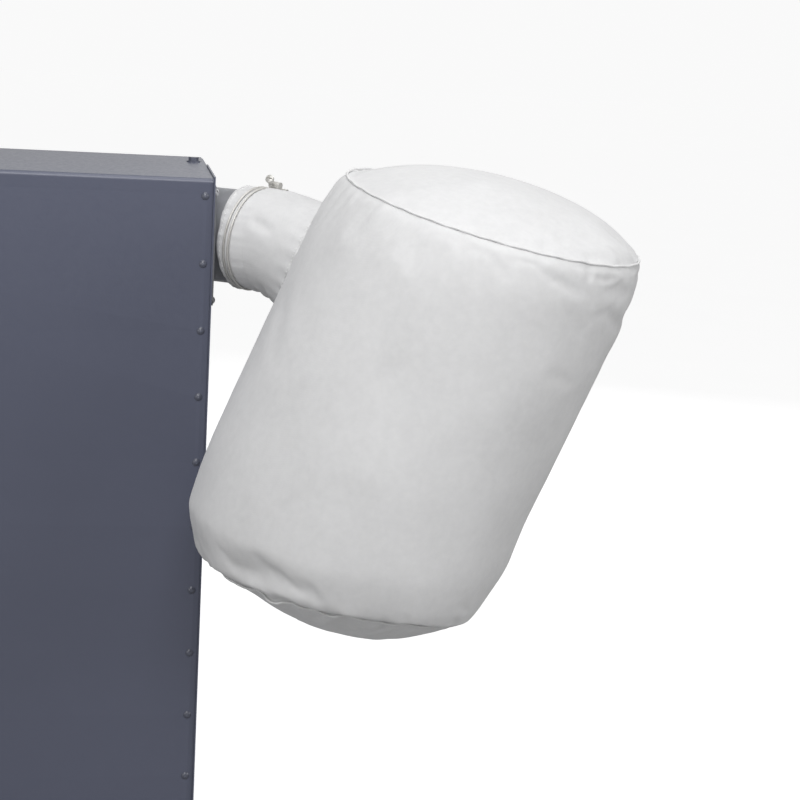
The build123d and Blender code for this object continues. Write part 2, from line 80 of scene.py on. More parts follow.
# ------------------------------------------------------------------ materials
def mat_new(name):
    m = bpy.data.materials.new(name)
    m.use_nodes = True
    nt = m.node_tree
    b = nt.nodes["Principled BSDF"]
    return m, nt, b


def add(nt, kind, **kw):
    nd = nt.nodes.new(kind)
    for k, v in kw.items():
        setattr(nd, k, v)
    return nd


def coords(nt, scale):
    tc = add(nt, "ShaderNodeTexCoord")
    mp = add(nt, "ShaderNodeMapping")
    mp.inputs["Scale"].default_value = scale if hasattr(scale, "__len__") else (scale, scale, scale)
    nt.links.new(tc.outputs["Object"], mp.inputs["Vector"])
    return mp.outputs["Vector"]


def noise_tex(nt, vec, scale, detail=3.0, rough=0.5):
    n = add(nt, "ShaderNodeTexNoise")
    n.inputs["Scale"].default_value = scale
    n.inputs["Detail"].default_value = detail
    n.inputs["Roughness"].default_value = rough
    nt.links.new(vec, n.inputs["Vector"])
    return n


def ramp(nt, fac, stops):
    r = add(nt, "ShaderNodeValToRGB")
    el = r.color_ramp.elements
    el[0].position, el[0].color = stops[0][0], stops[0][1]
    el[1].position, el[1].color = stops[-1][0], stops[-1][1]
    for p, c in stops[1:-1]:
        e = el.new(p)
        e.color = c
    nt.links.new(fac, r.inputs["Fac"])
    return r


def mixrgb(nt, fac, a, b, mode="MIX"):
    m = add(nt, "ShaderNodeMix", data_type="RGBA", blend_type=mode)
    for idx, val in ((0, fac), (6, a), (7, b)):
        if isinstance(val, (int, float)):
            m.inputs[idx].default_value = val
        elif isinstance(val, (tuple, list)):
            m.inputs[idx].default_value = val
        else:
            nt.links.new(val, m.inputs[idx])
    return m.outputs[2]


def bump(nt, height, strength, dist, prev=None):
    b = add(nt, "ShaderNodeBump")
    b.inputs["Strength"].default_value = strength
    b.inputs["Distance"].default_value = dist
    nt.links.new(height, b.inputs["Height"])
    if prev is not None:
        nt.links.new(prev, b.inputs["Normal"])
    return b.outputs["Normal"]


def g(v, a=1.0):
    return (v[0], v[1], v[2], a)


def powder_coat(name, base, rough=0.42):
    m, nt, b = mat_new(name)
    v = coords(nt, 1.0)
    big = noise_tex(nt, v, 3.0, 3.0)
    fine = noise_tex(nt, v, 900.0, 2.0)
    peel = noise_tex(nt, v, 260.0, 3.0)
    lo = tuple(c * 0.93 for c in base)
    hi = tuple(min(1, c * 1.07) for c in base)
    col = ramp(nt, big.outputs["Fac"], [(0.3, g(lo)), (0.7, g(hi))])
    dust = noise_tex(nt, v, 45.0, 6.0, 0.65)
    dm = ramp(nt, dust.outputs["Fac"], [(0.62, (0, 0, 0, 1)), (0.86, (0.10, 0.10, 0.10, 1))])
    c2 = mixrgb(nt, dm.outputs["Color"], col.outputs["Color"], g(tuple(min(1, c * 1.5 + 0.02) for c in base)))
    # painted highlight: convex edges and bends are painted lighter from the mesh's pointiness, standing in for
    # light catching them
    geo = add(nt, "ShaderNodeNewGeometry")
    edge = ramp(nt, geo.outputs["Pointiness"], [(0.52, (0, 0, 0, 1)), (0.62, (0.35, 0.35, 0.35, 1))])
    c3 = mixrgb(nt, edge.outputs["Color"], c2, g(tuple(min(1, c * 1.8 + 0.03) for c in base)))
    nt.links.new(c3, b.inputs["Base Color"])
    rr = ramp(nt, peel.outputs["Fac"], [(0.3, (rough - 0.05,) * 3 + (1,)), (0.7, (rough + 0.07,) * 3 + (1,))])
    nt.links.new(rr.outputs["Color"], b.inputs["Roughness"])
    n1 = bump(nt, peel.outputs["Fac"], 0.25, 0.0003)
    n2 = bump(nt, fine.outputs["Fac"], 0.12, 0.0001, n1)
    nt.links.new(n2, b.inputs["Normal"])
    b.inputs["Coat Weight"].default_value = 0.45
    b.inputs["Coat Roughness"].default_value = 0.25
    return m


def metal(name, base, rough, scale=(1, 1, 1), spots=0.0, metallic=1.0):
    m, nt, b = mat_new(name)
    v = coords(nt, 1.0)
    vs = coords(nt, scale)
    big = noise_tex(nt, v, 30.0, 4.0)
    streak = noise_tex(nt, vs, 220.0, 3.0)
    lo = tuple(c * 0.82 for c in base)
    hi = tuple(min(1, c * 1.12) for c in base)
    col = ramp(nt, big.outputs["Fac"], [(0.3, g(lo)), (0.7, g(hi))])
    out = col.outputs["Color"]
    if spots:
        vor = add(nt, "ShaderNodeTexVoronoi")
        vor.inputs["Scale"].default_value = 140.0
        nt.links.new(v, vor.inputs["Vector"])
        out = mixrgb(nt, spots, out, vor.outputs["Color"], "SOFT_LIGHT")
        hs = add(nt, "ShaderNodeHueSaturation")
        hs.inputs["Saturation"].default_value = 0.25
        nt.links.new(out, hs.inputs["Color"])
        out = hs.outputs["Color"]
    nt.links.new(out, b.inputs["Base Color"])
    b.inputs["Metallic"].default_value = metallic
    rr = ramp(nt, streak.outputs["Fac"], [(0.25, (max(0.05, rough - 0.09),) * 3 + (1,)), (0.75, (rough + 0.1,) * 3 + (1,))])
    nt.links.new(rr.outputs["Color"], b.inputs["Roughness"])
    nt.links.new(bump(nt, streak.outputs["Fac"], 0.15, 0.0001), b.inputs["Normal"])
    return m


def plastic(name, base, rough):
    m, nt, b = mat_new(name)
    v = coords(nt, 1.0)
    grain = noise_tex(nt, v, 700.0, 2.0)
    big = noise_tex(nt, v, 25.0, 3.0)
    col = ramp(nt, big.outputs["Fac"], [(0.3, g(tuple(c * 0.85 for c in base))), (0.7, g(tuple(min(1, c * 1.15 + 0.002) for c in base)))])
    nt.links.new(col.outputs["Color"], b.inputs["Base Color"])
    rr = ramp(nt, grain.outputs["Fac"], [(0.3, (rough - 0.06,) * 3 + (1,)), (0.7, (rough + 0.06,) * 3 + (1,))])
    nt.links.new(rr.outputs["Color"], b.inputs["Roughness"])
    nt.links.new(bump(nt, grain.outputs["Fac"], 0.25, 0.0002), b.inputs["Normal"])
    return m


def fabric(name, base, weave=3300.0, strength=0.12):
    m, nt, b = mat_new(name)
    v = coords(nt, 1.0)
    # two crossed thread directions on object axes, broken up a little by noise
    wob = noise_tex(nt, v, 60.0, 2.0)
    vv = add(nt, "ShaderNodeVectorMath", operation="MULTIPLY_ADD")
    nt.links.new(wob.outputs["Color"], vv.inputs[0])
    vv.inputs[1].default_value = (0.0006, 0.0006, 0.0006)
    nt.links.new(v, vv.inputs[2])
    w1 = add(nt, "ShaderNodeTexWave", wave_type="BANDS", bands_direction="DIAGONAL")
    w1.inputs["Scale"].default_value = weave / 6.2832
    w1.inputs["Distortion"].default_value = 0.6
    w2 = add(nt, "ShaderNodeTexWave", wave_type="BANDS", bands_direction="Z")
    w2.inputs["Scale"].default_value = weave / 6.2832
    w2.inputs["Distortion"].default_value = 0.6
    nt.links.new(vv.outputs[0], w1.inputs["Vector"])
    nt.links.new(vv.outputs[0], w2.inputs["Vector"])
    mx = add(nt, "ShaderNodeMath", operation="MAXIMUM")
    nt.links.new(w1.outputs["Fac"], mx.inputs[0])
    nt.links.new(w2.outputs["Fac"], mx.inputs[1])
    big = noise_tex(nt, v, 9.0, 4.0, 0.6)
    mot = noise_tex(nt, v, 130.0, 4.0, 0.6)
    fib = noise_tex(nt, v, 1100.0, 3.0, 0.7)
    lo = tuple(c * 0.93 for c in base)
    hi = tuple(min(1, c * 1.04) for c in base)
    c1 = ramp(nt, big.outputs["Fac"], [(0.3, g(lo)), (0.7, g(hi))])
    c2 = mixrgb(nt, 0.25, c1.outputs["Color"], mot.outputs["Fac"], "SOFT_LIGHT")
    c3 = mixrgb(nt, 0.06, c2, mx.outputs[0], "OVERLAY")
    nt.links.new(c3, b.inputs["Base Color"])
    b.inputs["Roughness"].default_value = 0.92
    b.inputs["Specular IOR Level"].default_value = 0.18
    b.inputs["Sheen Weight"].default_value = 0.22
    b.inputs["Sheen Roughness"].default_value = 0.5
    n1 = bump(nt, mx.outputs[0], strength, 0.0004)
    n2 = bump(nt, fib.outputs["Fac"], 0.25, 0.0003, n1)
    n3 = bump(nt, mot.outputs["Fac"], 0.07, 0.0010, n2)
    nt.links.new(n3, b.inputs["Normal"])
    return m


M_PANEL = powder_coat("panel_powder_coat", (0.076, 0.084, 0.124))
M_SCREW = powder_coat("screw_paint", (0.085, 0.092, 0.125), 0.3)
M_GALV = metal("galvanised_sheet", (0.50, 0.51, 0.54), 0.38, (1, 1, 6), spots=0.35)
M_SPIGOT = metal("spigot_sheet", (0.255, 0.285, 0.37), 0.38, (1, 1, 8), spots=0.06, metallic=0.25)
M_ZINC = metal("zinc_plate", (0.62, 0.63, 0.65), 0.28)
M_CLAMP = metal("clamp_zinc", (0.70, 0.69, 0.66), 0.42, metallic=0.35)
M_STEEL = metal("machined_steel", (0.45, 0.45, 0.46), 0.32, (1, 8, 1))
M_COPPER = metal("winding_copper", (0.60, 0.26, 0.11), 0.35, (6, 1, 6))
M_ALLOY = metal("motor_alloy", (0.50, 0.51, 0.53), 0.5)
M_BLACK = plastic("black_plastic", (0.022, 0.022, 0.024), 0.5)
M_RED = plastic("switch_red", (0.45, 0.02, 0.015), 0.3)
M_RUBBER = plastic("rubber_black", (0.03, 0.03, 0.03), 0.75)
M_FAB = fabric("bag_cloth", (0.74, 0.74, 0.745))
M_FAB2 = fabric("bag_binding", (0.80, 0.80, 0.80), weave=3600.0, strength=0.15)
M_THREAD = fabric("bag_thread", (0.86, 0.86, 0.85), weave=3000.0, strength=0.2)

MATS = {
    "base_plate": M_PANEL, "left_side_panel": M_PANEL, "right_side_panel": M_PANEL, "back_panel": M_PANEL, "front_panel": M_PANEL, "top_plate": M_PANEL,
    "panel_screws": M_SCREW, "top_bolts": M_SCREW, "cable_gland": M_BLACK, "gland_nut": M_BLACK, "switch_housing": M_BLACK, "switch_toggle": M_RED, "toggle_pin": M_STEEL,
    "outlet_flange": M_SPIGOT, "outlet_spigot": M_SPIGOT, "flange_screws": M_ZINC, "inlet_spigot": M_SPIGOT, "inlet_screws": M_ZINC,
    "scroll_front_plate": M_GALV, "scroll_back_plate": M_GALV, "scroll_wrap": M_GALV, "outlet_box": M_GALV,
    "impeller": M_STEEL, "impeller_bolt": M_ZINC, "motor_shaft": M_STEEL, "rotor_core": M_STEEL, "stator_core": M_STEEL, "stator_windings": M_COPPER,
    "motor_barrel": M_ALLOY, "front_end_bell": M_ALLOY, "rear_end_bell": M_ALLOY, "motor_bearings": M_STEEL, "motor_bolts": M_ZINC,
    "cooling_fan": M_BLACK, "fan_cowl": M_BLACK, "capacitor_box": M_BLACK, "run_capacitor": M_ALLOY,
    "motor_shelf": M_GALV, "vibration_mounts": M_RUBBER, "motor_foot": M_GALV, "foot_bolts": M_ZINC,
    "clamp_wires": M_CLAMP, "clamp_barrels": M_CLAMP, "clamp_screw": M_CLAMP,
}
for node, m in MATS.items():
    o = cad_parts[node]
    if not o.material_slots:
        o.data.materials.append(m)
    for s in o.material_slots:
        s.material = m

# ------------------------------------------------------------------ bag skin
NTH = 192      # points round the bag, four times the disc grid
NK = 74
PROF = [(0.0, 154.0), (0.015, 157.5), (0.05, 161.5), (0.13, 164.5), (0.3, 165.0), (0.5, 165.5), (0.7, 165.0), (0.85, 164.5), (0.93, 157.5), (0.975, 150.5), (1.0, 143.0)]
# the cloth sags to the left of the straight line between the seams, most of all low down
SAG = [(0.0, 0.0), (0.05, 2.0), (0.2, 4.5), (0.3, 6.5), (0.43, 10.5), (0.6, 14.5), (0.75, 17.5), (0.86, 16.0), (0.94, 7.5), (1.0, 3.5)]
SAG_DIR = Vector((-0.988, 0.154, 0.0))
RT = 154.0 * MM
RB = 143.0 * MM
DT, DB = 40.5 * MM, 40.5 * MM


def smooth_interp(k, tab):
    """Monotone cubic through a table of (k, value)."""
    xs = [t[0] for t in tab]
    ys = [t[1] for t in tab]
    n = len(xs)
    d = [(ys[i + 1] - ys[i]) / (xs[i + 1] - xs[i]) for i in range(n - 1)]
    m = [d[0]] + [0.0 if d[i - 1] * d[i] <= 0 else 2 * d[i - 1] * d[i] / (d[i - 1] + d[i]) for i in range(1, n - 1)] + [d[-1]]
    k = min(max(k, xs[0]), xs[-1])
    i = min(max(0, next((j for j in range(n - 1) if k <= xs[j + 1]), n - 2)), n - 2)
    h = xs[i + 1] - xs[i]
    t = (k - xs[i]) / h
    return (2 * t ** 3 - 3 * t ** 2 + 1) * ys[i] + (t ** 3 - 2 * t ** 2 + t) * h * m[i] + (-2 * t ** 3 + 3 * t ** 2) * ys[i + 1] + (t ** 3 - t ** 2) * h * m[i + 1]


def prof(k):
    return smooth_interp(k, PROF) * MM


def frame_at(k):
    nn = (NT * (1 - k) + NB * k).normalized()
    e1 = Vector((nn.z, 0, -nn.x)).normalized()
    e2 = nn.cross(e1)
    return BT + (BB - BT) * k + SAG_DIR * (smooth_interp(k, SAG) * MM), nn, e1, e2


def concentric(a, b):
    # square [-1,1]^2 to the unit disc
    if a == 0 and b == 0:
        return 0.0, 0.0
    if abs(a) > abs(b):
        r, ph = a, (math.pi / 4) * (b / a)
    else:
        r, ph = b, math.pi / 2 - (math.pi / 4) * (a / b)
    return r * math.cos(ph), r * math.sin(ph)


G = NTH // 4
boundary = []      # (i, j) round the square in order of rising angle from -45 degrees
for j in range(0, G):
    boundary.append((G, j))
for i in range(G, 0, -1):
    boundary.append((i, G))
for j in range(G, 0, -1):
    boundary.append((0, j))
for i in range(0, G):
    boundary.append((i, 0))


def dome_h(rho):
    return max(0.0, 1 - rho ** 2) ** 0.87


def seam_dip(th, k):
    """The lower seam hangs a little lower at the front left."""
    d = (th - math.radians(233.0) + math.pi) % (2 * math.pi) - math.pi
    e = (th - math.radians(350.0) + math.pi) % (2 * math.pi) - math.pi
    wave = 0.0016 * math.sin(17 * th + 0.6) + 0.0011 * math.sin(29 * th + 2.2)
    near = smoothstep(0.96, 1.0, k)
    return (0.0045 * math.exp(-(d / 0.55) ** 2) + 0.0085 * math.exp(-(e / 0.6) ** 2)) * smoothstep(0.72, 1.0, k) + wave * near * (0.35 + math.exp(-(d / 0.45) ** 2))


def seam_draw(th, k):
    """The lower right of the bag is drawn in towards the middle of the seam."""
    e = (th - math.radians(352.0) + math.pi) % (2 * math.pi) - math.pi
    return 1.0 - 0.105 * math.exp(-(e / 0.62) ** 2) * smoothstep(0.80, 1.0, k)


def build_bag():
    verts, faces = [], []
    # side grid rows 0..NK (rows 0 and NK are the seams)
    ks = [0.5 * (1 - math.cos(math.pi * i / NK)) * 0.35 + (i / NK) * 0.65 for i in range(NK + 1)]
    ang = []
    for (i, j) in boundary:
        x, y = concentric(2 * i / G - 1, 2 * j / G - 1)
        ang.append(math.atan2(y, x))
    rows = []
    for k in ks:
        c, nn, e1, e2 = frame_at(k)
        r = prof(k)
        row = []
        for th in ang:
            row.append(len(verts))
            rd = r * seam_draw(th, k)
            verts.append(c + e1 * (rd * math.cos(th)) + e2 * (rd * math.sin(th)) - nn * seam_dip(th, k))
        rows.append(row)
    for a in range(NK):
        for t in range(NTH):
            u = (t + 1) % NTH
            faces.append((rows[a][t], rows[a + 1][t], rows[a + 1][u], rows[a][u]))

    def disc(k, seam, r, h, sign):
        c, nn, e1, e2 = frame_at(k)
        idx = {}
        for t, ij in enumerate(boundary):
            idx[ij] = seam[t]
        for i in range(G + 1):
            for j in range(G + 1):
                if (i, j) in idx:
                    continue
                x, y = concentric(2 * i / G - 1, 2 * j / G - 1)
                rho = math.hypot(x, y)
                idx[(i, j)] = len(verts)
                lean = 1.0 if sign > 0 else 1.0 + 0.20 * (e1 * x + e2 * y).x
                tq = math.atan2(y, x)
                rd = r * (1.0 - rho * rho * (1.0 - seam_draw(tq, k)))
                verts.append(c + e1 * (rd * x) + e2 * (rd * y) + nn * (sign * h * lean * dome_h(rho) - rho * rho * seam_dip(math.atan2(y, x), k)))
        for i in range(G):
            for j in range(G):
                q = (idx[(i, j)], idx[(i + 1, j)], idx[(i + 1, j + 1)], idx[(i, j + 1)])
                faces.append(q if sign > 0 else q[::-1])
        return idx

    top = disc(0.0, rows[0], RT, DT, 1)
    bot = disc(1.0, rows[-1], RB, DB, -1)
    return verts, faces, rows, top, bot, ks, ang


verts, faces, rows, top_idx, bot_idx, ks, angs = build_bag()
bag = new_mesh("bag_skin", verts, faces)
base_co = np.array([tuple(v) for v in verts])
me = bag.data

# unit outward normals of the start shape
nrm = np.zeros((len(me.vertices), 3))
for v in me.vertices:
    nrm[v.index] = v.normal
cen = np.array((BT + BB) * 0.5)
if np.mean(np.sum((base_co - cen) * nrm, axis=1)) < 0:
    me.flip_normals()
    me.update()
    for v in me.vertices:
        nrm[v.index] = v.normal

# a little deterministic unevenness before the cloth step, so that it buckles as cloth does
pre = base_co.copy()
seam_t = set(rows[0])
seam_b = set(rows[-1])
row_of = {}
for a, row in enumerate(rows):
    for t, i in enumerate(row):
        row_of[i] = (a, t)
for i in range(len(pre)):
    p = base_co[i]
    d = 0.0013 * fnoise(p, 0.075, 3.1) + 0.0003 * fnoise(p, 0.022, 7.7)
    pre[i] = p + nrm[i] * (d - 0.004 if (i not in seam_t and i not in seam_b) else 0.0)


def simulate(ob, start, seams, frames=18, shrink=-0.022, pressure=4.0, cap=0.011):
    me = ob.data
    me.vertices.foreach_set("co", start.reshape(-1))
    me.update()
    vg = ob.vertex_groups.new(name="pin")
    vg.add(sorted(seams), 1.0, "REPLACE")
    md = ob.modifiers.new("Cloth", "CLOTH")
    cs = md.settings
    cs.quality = 6
    cs.mass = 0.25
    cs.tension_stiffness = 40
    cs.compression_stiffness = 40
    cs.shear_stiffness = 12
    cs.bending_stiffness = 0.9
    cs.tension_damping = 8
    cs.compression_damping = 8
    cs.air_damping = 2
    cs.use_pressure = True
    cs.uniform_pressure_force = pressure
    cs.shrink_min = shrink
    cs.shrink_max = shrink
    cs.vertex_group_mass = "pin"
    cs.pin_stiffness = 1.0
    cs.effector_weights.gravity = 0.0
    md.collision_settings.use_collision = False
    md.collision_settings.use_self_collision = False
    sc = bpy.context.scene
    for f in range(1, frames + 1):
        sc.frame_set(f)
    dg = bpy.context.evaluated_depsgraph_get()
    ev = ob.evaluated_get(dg)
    em = ev.to_mesh()
    out = np.empty(len(em.vertices) * 3)
    em.vertices.foreach_get("co", out)
    out = out.reshape(-1, 3)
    ev.to_mesh_clear()
    ob.modifiers.remove(md)
    ob.vertex_groups.clear()
    sc.frame_set(1)
    d = out - base_co
    ln = np.linalg.norm(d, axis=1, keepdims=True)
    lim = cap * np.tanh(ln / cap) / np.maximum(ln, 1e-9)
    return base_co + d * lim


sim = simulate(bag, pre, seam_t | seam_b)
if not np.isfinite(sim).all() or np.abs(sim - base_co).max() > 0.05:
    sim = pre.copy()
co = sim.copy()

# ------------------------------------------------------------------ sewn and hanging detail
e_gate_c = BT + (BB - BT) * 0.5


def side_detail(i):
    a, t = row_of[i]
    k = ks[a]
    th = angs[t]
    p = Vector(base_co[i])
    n0 = Vector(nrm[i])
    d = 0.0
    L = (BB - BT).length
    st = k * L                     # distance from the top seam
    sb = (1 - k) * L
    # puckers that run down from the top seam, and up from the bottom seam
    w = 0.0
    for m, ph, amp in ((23, 0.7, 0.55), (41, 2.1, 0.45), (67, 4.0, 0.30)):
        w += amp * math.sin(m * th + ph + 1.3 * math.sin(3 * th + ph))
    gate = 0.55 + 0.45 * math.sin(5 * th + 1.0) * math.sin(2 * th + 0.3)
    d += 0.0011 * w * gate * math.exp(-st / 0.016) * smoothstep(0.0, 0.004, st)
    w2 = 0.0
    for m, ph, amp in ((19, 1.9, 0.6), (37, 0.4, 0.45), (61, 3.0, 0.3)):
        w2 += amp * math.sin(m * th + ph + 1.1 * math.sin(2 * th + ph))
    fl = math.exp(-(((th - math.radians(233.0) + math.pi) % (2 * math.pi) - math.pi) / 0.6) ** 2)
    d += (0.0008 + 0.0006 * fl) * w2 * math.exp(-sb / 0.012) * smoothstep(0.0, 0.004, sb)
    # the cloth rolls in to the seams
    d -= 0.0030 * math.exp(-st / 0.0045) + 0.0030 * math.exp(-sb / 0.0045)
    return d


nv = len(co)
detail = np.zeros(nv)
for i in row_of:
    detail[i] = side_detail(i)
for idx, (c, nn, r) in ((top_idx, (BT, NT, RT)), (bot_idx, (BB, -NB, RB))):
    for ij, i in idx.items():
        if i in row_of:
            continue
        x, y = concentric(2 * ij[0] / G - 1, 2 * ij[1] / G - 1)
        th = math.atan2(y, x)
        s = (1 - math.hypot(x, y)) * r
        w = 0.0
        for m, ph, amp in ((21, 0.2, 0.6), (39, 1.4, 0.45), (58, 2.7, 0.25)):
            w += amp * math.sin(m * th + ph + math.sin(4 * th + ph))
        detail[i] = 0.0010 * w * math.exp(-s / 0.014) * smoothstep(0.0, 0.004, s) - 0.0016 * math.exp(-s / 0.003)
co += nrm * detail[:, None]

# soft folds low on the left, where the bag's weight hangs from the neck and the bottom panel is gathered


def crease(co, a, b, width, depth, seed=0.0, taper=0.3):
    a, b = np.array(a), np.array(b)
    ab = b - a
    L2 = float(ab @ ab)
    t = np.clip(((co - a) @ ab) / L2, 0, 1)
    near = a + t[:, None] * ab
    dist = np.linalg.norm(co - near, axis=1)
    prof_ = np.exp(-(dist / width) ** 2)
    ridge = np.exp(-((dist - 1.7 * width) / width) ** 2) * 0.45
    env = np.minimum(1, np.minimum(t, 1 - t) / taper)
    env = np.where((t <= 0) | (t >= 1), 0.0, env)
    return (-prof_ + ridge) * depth * env


def disc_point(k, thd, rho):
    c, nn, e1, e2 = frame_at(k)
    th = math.radians(thd)
    r, h, sign = (RT, DT, 1) if k < 0.5 else (RB, DB, -1)
    dip = rho * rho * seam_dip(th, k)
    return c + e1 * (r * rho * math.cos(th)) + e2 * (r * rho * math.sin(th)) + nn * (sign * h * dome_h(rho) - dip)


def bag_point(k, thd, r=None):
    c, nn, e1, e2 = frame_at(k)
    th = math.radians(thd)
    rr = prof(k) if r is None else r
    return c + e1 * (rr * math.cos(th)) + e2 * (rr * math.sin(th))


# angles: 0 is the right-hand side, 90 the back, 180 the left, -90 the front
folds = [
    (bag_point(0.94, -158), bag_point(1.0, -146), 0.004, 0.0018),
    (bag_point(0.972, -140), bag_point(1.0, -131), 0.0035, 0.0022),
    (bag_point(0.974, -127), bag_point(1.0, -119), 0.0035, 0.0022),
    (bag_point(0.93, -172), bag_point(0.995, -160), 0.005, 0.0018),
    (bag_point(0.975, -112), bag_point(1.0, -107), 0.0035, 0.0018),
    (bag_point(0.978, -100), bag_point(1.0, -96), 0.0035, 0.0016),
    (disc_point(1.0, -74, 1.0), disc_point(1.0, -90, 0.70), 0.0045, 0.0042),
    (disc_point(1.0, -102, 1.0), disc_point(1.0, -112, 0.78), 0.0045, 0.0030),
    (disc_point(1.0, -48, 1.0), disc_point(1.0, -58, 0.80), 0.0040, 0.0026),
    (disc_point(1.0, -150, 1.0), disc_point(1.0, -160, 0.72), 0.0050, 0.0030),
    (disc_point(1.0, 60, 1.0), disc_point(1.0, 75, 0.70), 0.0050, 0.0030),
    (disc_point(1.0, 140, 1.0), disc_point(1.0, 128, 0.74), 0.0050, 0.0030),
    (bag_point(0.0, -156), bag_point(0.045, -158), 0.0040, 0.0026),
    (bag_point(0.0, -145), bag_point(0.05, -147), 0.0040, 0.0026),
    (bag_point(0.0, -112), bag_point(0.045, -109), 0.0045, 0.0026),
    (disc_point(0.0, -146, 1.0), disc_point(0.0, -143, 0.90), 0.0035, 0.0018),
    (disc_point(0.0, -62, 1.0), disc_point(0.0, -65, 0.93), 0.0035, 0.0020),
    (bag_point(0.0, -62), bag_point(0.05, -60), 0.0045, 0.0026),
    (bag_point(0.955, -75), bag_point(1.0, -70), 0.0045, 0.0022),
    (bag_point(0.965, -50), bag_point(1.0, -46), 0.0045, 0.0024),
    (bag_point(0.94, 45), bag_point(0.998, 52), 0.006, 0.0022),
    (bag_point(0.0, 62), bag_point(0.07, 66), 0.006, 0.0020),
    (bag_point(0.0, 130), bag_point(0.06, 127), 0.006, 0.0020),
    (bag_point(0.92, 150), bag_point(0.998, 162), 0.006, 0.0024),
    (bag_point(0.30, -172), bag_point(0.46, -158), 0.012, 0.0012),
]
for a, b, w, dep in folds:
    co += nrm * crease(co, a, b, w, dep)[:, None]
me.vertices.foreach_set("co", co.reshape(-1))
me.update()

# ------------------------------------------------------------------ neck
P0 = RING + N * 0.030
P1 = RING + N * 0.058
P2 = Vector((350.0, -193.0, 630.0)) * MM


def neck_frame(s):
    """Centre, direction and two cross axes of the neck, s metres past the hem edge."""
    if s <= 0.030:
        p, d = RING + N * s, N
    else:
        u = neck_u(s - 0.030)
        p = P0 * ((1 - u) ** 2) + P1 * (2 * u * (1 - u)) + P2 * (u * u)
        d = ((P1 - P0) * (2 * (1 - u)) + (P2 - P1) * (2 * u)).normalized()
    e1 = Vector((-d.y, d.x, 0)).normalized()      # towards the back
    e2 = d.cross(e1)
    if e2.z < 0:
        e2 = -e2
    return p, d, e1, e2


_tab = [(0.0, 0.0)]
_last = P0
for i in range(1, 401):
    u = i / 400
    q = P0 * ((1 - u) ** 2) + P1 * (2 * u * (1 - u)) + P2 * (u * u)
    _tab.append((_tab[-1][0] + (q - _last).length, u))
    _last = q


def neck_u(s):
    return float(np.interp(s, [t[0] for t in _tab], [t[1] for t in _tab]))


u50 = TD * math.cos(math.radians(50)) + UP * math.sin(math.radians(50))
NC = (N - u50 * (7.0 / 54.0)).normalized()
CC = RING + N * 0.016
SMAX = 0.030 + _tab[-1][0]


def wire_s(ph, off):
    rd = TD * math.cos(ph) + UP * math.sin(ph)
    return ((CC + NC * off - RING).dot(NC) - 0.0535 * rd.dot(NC)) / N.dot(NC)


def neck_radius(s, ph):
    r = float(np.interp(s, [0.0, 0.03, 0.06, 0.09, 0.13, 0.17], [53.9, 54.0, 56.2, 59.0, 60.5, 61.0])) * MM
    # the underside hangs lower towards the bag
    r += 0.0065 * smoothstep(0.045, 0.11, s) * max(0.0, -math.sin(ph)) ** 1.5
    w1, w2 = wire_s(ph, -0.0027), wire_s(ph, 0.0027)
    # gathers that fan out from the clamp
    gw = 0.0
    for m, p0, amp in ((17, 0.3, 0.5), (29, 1.7, 0.5), (43, 3.3, 0.4)):
        gw += amp * math.sin(m * ph + p0 + 0.8 * math.sin(2 * ph + p0))
    top = math.exp(-((math.degrees(ph) - 62 + 180) % 360 - 180) ** 2 / (2 * 30.0 ** 2))
    after = max(0.0, s - w2)
    r += 0.0009 * gw * (0.45 + 0.9 * top) * math.exp(-after / 0.016) * smoothstep(0.0, 0.004, after)
    if s < w1:
        r += 0.0006 * gw * smoothstep(0.0, 0.006, w1 - s)
    # wires pressed into the cloth
    for w in (w1, w2):
        r -= 0.0016 * math.exp(-((s - w) / 0.0017) ** 2)
    r += 0.0008 * math.exp(-((s - 0.5 * (w1 + w2)) / 0.0015) ** 2)
    # hem: a rolled edge
    r += 0.0009 * math.exp(-((s - 0.0025) / 0.0025) ** 2)
    return r


bvh = BVHTree.FromPolygons([Vector(c) for c in co], faces)
NPH = 160
NS = 84
junction = []
for j in range(NPH):
    ph = 2 * math.pi * j / NPH
    s = 0.035
    prev_p = None
    hit_s = SMAX
    step = 0.0015
    while s < SMAX:
        p, d, e1, e2 = neck_frame(s)
        q = p + (e1 * math.cos(ph) + e2 * math.sin(ph)) * neck_radius(s, ph)
        if prev_p is not None:
            dv = q - prev_p
            loc, nr, fi, ds = bvh.ray_cast(prev_p, dv.normalized(), dv.length)
            if loc is not None:
                hit_s = s - step + ds
                break
        prev_p = q
        s += step
    junction.append(hit_s)
jn = np.array(junction)
jn = np.convolve(np.concatenate([jn[-3:], jn, jn[:3]]), np.ones(7) / 7, "valid")

nverts, nfaces = [], []
nrows = []


def neck_pt(s, ph, extra=0.0, j=None):
    p, d, e1, e2 = neck_frame(s)
    r = neck_radius(s, ph) + extra
    return p + (e1 * math.cos(ph) + e2 * math.sin(ph)) * r


